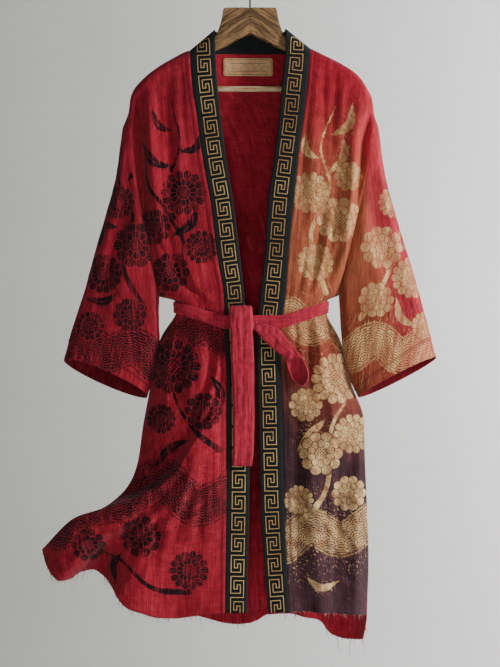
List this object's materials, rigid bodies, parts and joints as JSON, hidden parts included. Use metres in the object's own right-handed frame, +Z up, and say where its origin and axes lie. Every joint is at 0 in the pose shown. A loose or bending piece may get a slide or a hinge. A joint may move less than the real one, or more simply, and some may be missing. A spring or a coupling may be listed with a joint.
{
  "type": "kimono robe on hanger",
  "caption": "Open kimono robe with wide sleeves, a meander-patterned collar band, a tied belt and a wind-blown front, on a wooden hanger.",
  "frame": {"origin": "the inner crown of the hanger's hook, where a rail carries it", "axes": "+X to the viewer's right, +Y from the front to the back, +Z up"},
  "size_m": [0.7877, 0.1646, 1.3519],
  "materials": {
    "robe_red": "crimson slub linen, matte",
    "robe_ombre": "slub linen dyed from crimson through orange-brown to aubergine, matte",
    "collar": "charcoal twill with a gold meander",
    "belt": "crimson linen, folded",
    "label": "tan, stitched",
    "wood": "weathered, oiled",
    "wire": "dark wire"
  },
  "bodies": {
    "root": {"back": "robe_red", "front_right": "robe_red", "front_left": "robe_ombre", "sleeve_right_front": "robe_red", "sleeve_right_back": "robe_red", "sleeve_left_front": "robe_ombre", "sleeve_left_back": "robe_ombre", "collar_right_front": "collar", "collar_left_front": "collar", "collar_back_neck": "collar", "belt_loop": "belt", "belt_knot": "belt", "belt_tail_long": "belt", "belt_tail_short": "belt", "label": "label", "hanger_body": "wood", "hanger_bar": "wood", "hook": "wire"}
  },
  "joints": []
}
